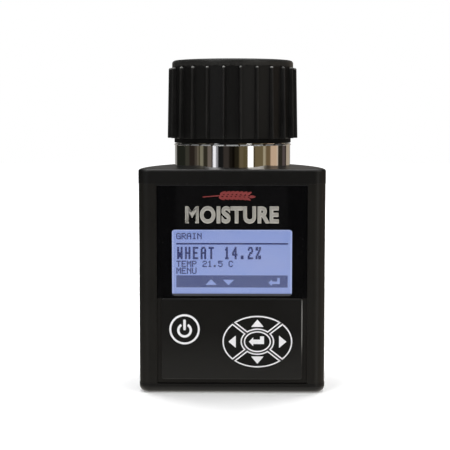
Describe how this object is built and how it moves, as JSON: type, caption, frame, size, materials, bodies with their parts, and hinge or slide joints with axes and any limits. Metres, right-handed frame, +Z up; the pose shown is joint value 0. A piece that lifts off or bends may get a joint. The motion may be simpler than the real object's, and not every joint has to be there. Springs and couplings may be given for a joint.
{
  "type": "grain moisture meter",
  "caption": "Hand-held grain moisture meter: boxed instrument with lit display and keypad, and a ribbed screw cap over a chromed sample cell.",
  "frame": {"origin": "centre of the footprint, on the surface the meter stands on", "axes": "+X to the right seen from the keypad side, +Y to the back, +Z up along the sample cell's axis"},
  "size_m": [0.1032, 0.082, 0.1844],
  "materials": {
    "body_plastic": "satin dark moulding",
    "cover_plastic": "satin dark moulding",
    "panel_skin": "gloss film",
    "clear_lens": "clear",
    "keypad_skin": "fine matt",
    "key_skin": "fine matt",
    "switch_plastic": "moulded",
    "plunger_plastic": "moulded",
    "tinned_steel": "satin",
    "lcd_cell": "lit display",
    "backlight_white": "white diffuser",
    "board_green": "solder mask",
    "chip_black": "moulded",
    "can_aluminium": "drawn",
    "buzzer_black": "moulded",
    "connector_white": "moulded",
    "brass_stud": "turned",
    "chrome_cell": "polished",
    "gasket_rubber": "matt",
    "insulator": "moulded",
    "zinc_steel": "zinc plated",
    "black_screw": "blackened",
    "ribbon_grey": "ribbed",
    "wire_red": "smooth",
    "wire_black": "smooth",
    "battery_wrap": "printed steel case",
    "foam_grey": "foam",
    "tray_plastic": "moulded",
    "cap_plastic": "satin dark moulding",
    "nylon_white": "turned",
    "spring_steel": "drawn wire",
    "plate_steel": "turned",
    "button_red": "smooth"
  },
  "bodies": {
    "meter": {"main_housing": "body_plastic", "top_cover": "cover_plastic", "base_cover": "cover_plastic", "display_panel": "panel_skin", "display_lens": "clear_lens", "keypad_plate": "keypad_skin", "switch_housings": "switch_plastic", "lcd_frame": "tinned_steel", "lcd_glass": "lcd_cell", "lcd_backlight": "backlight_white", "lcd_board": "board_green", "keypad_board": "board_green", "main_board": "board_green", "board_spacers": "brass_stud", "board_screws": "zinc_steel", "ic_chips": "chip_black", "capacitors": "can_aluminium", "buzzer": "buzzer_black", "board_connectors": "connector_white", "cell_cup": "chrome_cell", "cell_gasket": "gasket_rubber", "centre_electrode": "brass_stud", "cell_clamp": "tray_plastic", "clamp_screws": "zinc_steel", "cell_floor": "insulator", "sensor_board": "board_green", "sensor_screws": "zinc_steel", "electrode_nut": "brass_stud", "temperature_probe": "plate_steel", "battery_tray": "tray_plastic", "battery_pad": "foam_grey", "battery_9v": "battery_wrap", "battery_terminals": "tinned_steel", "battery_snap": "tray_plastic", "battery_lead_red": "wire_red", "battery_lead_black": "wire_black", "sensor_ribbon": "ribbon_grey", "top_screws": "black_screw", "base_screws": "black_screw"},
    "battery_door": {"battery_door": "body_plastic"},
    "cap_carrier": {"thrust_washer": "nylon_white", "pressure_spring": "spring_steel"},
    "cap": {"cap_shell": "cap_plastic", "snap_ring": "spring_steel"},
    "pressure": {"pressure_plate": "plate_steel", "plate_stem": "plate_steel", "indicator_button": "button_red"},
    "key_power": {"key_power": "key_skin", "plunger_power": "plunger_plastic"},
    "key_up": {"key_up": "key_skin", "plunger_up": "plunger_plastic"},
    "key_down": {"key_down": "key_skin", "plunger_down": "plunger_plastic"},
    "key_left": {"key_left": "key_skin", "plunger_left": "plunger_plastic"},
    "key_right": {"key_right": "key_skin", "plunger_right": "plunger_plastic"},
    "key_enter": {"key_enter": "key_skin", "plunger_enter": "plunger_plastic"}
  },
  "joints": [
    {"name": "cap_lift", "type": "slide", "parent": "meter", "child": "cap_carrier", "axis": [0, 0, 1], "range_m": [0, 0.0301]},
    {"name": "cap_turn", "type": "hinge", "parent": "cap_carrier", "child": "cap", "pos_m": [0, 0.0025, 0.16], "axis": [0, 0, 1], "range_deg": [0, 2160]},
    {"name": "plate_press", "type": "slide", "parent": "cap_carrier", "child": "pressure", "axis": [0, 0, 1], "range_m": [0, 0.004], "stiffness_N_per_m": 600, "springref_m": -0.01, "deforming": ["pressure_spring"]},
    {"name": "battery_door_hinge", "type": "hinge", "parent": "meter", "child": "battery_door", "pos_m": [0, 0.03975, 0.0115], "axis": [-1, 0, 0], "range_deg": [0, 90]},
    {"name": "power_press", "type": "slide", "parent": "meter", "child": "key_power", "axis": [0, 1, 0], "range_m": [0, 0.0006], "stiffness_N_per_m": 500, "springref_m": -0.001},
    {"name": "up_press", "type": "slide", "parent": "meter", "child": "key_up", "axis": [0, 1, 0], "range_m": [0, 0.0006], "stiffness_N_per_m": 500, "springref_m": -0.001},
    {"name": "down_press", "type": "slide", "parent": "meter", "child": "key_down", "axis": [0, 1, 0], "range_m": [0, 0.0006], "stiffness_N_per_m": 500, "springref_m": -0.001},
    {"name": "left_press", "type": "slide", "parent": "meter", "child": "key_left", "axis": [0, 1, 0], "range_m": [0, 0.0006], "stiffness_N_per_m": 500, "springref_m": -0.001},
    {"name": "right_press", "type": "slide", "parent": "meter", "child": "key_right", "axis": [0, 1, 0], "range_m": [0, 0.0006], "stiffness_N_per_m": 500, "springref_m": -0.001},
    {"name": "enter_press", "type": "slide", "parent": "meter", "child": "key_enter", "axis": [0, 1, 0], "range_m": [0, 0.0006], "stiffness_N_per_m": 500, "springref_m": -0.001}
  ],
  "couplings": [
    {"joint": "cap_lift", "follows": "cap_turn", "m_per_rad": 0.00079577}
  ]
}
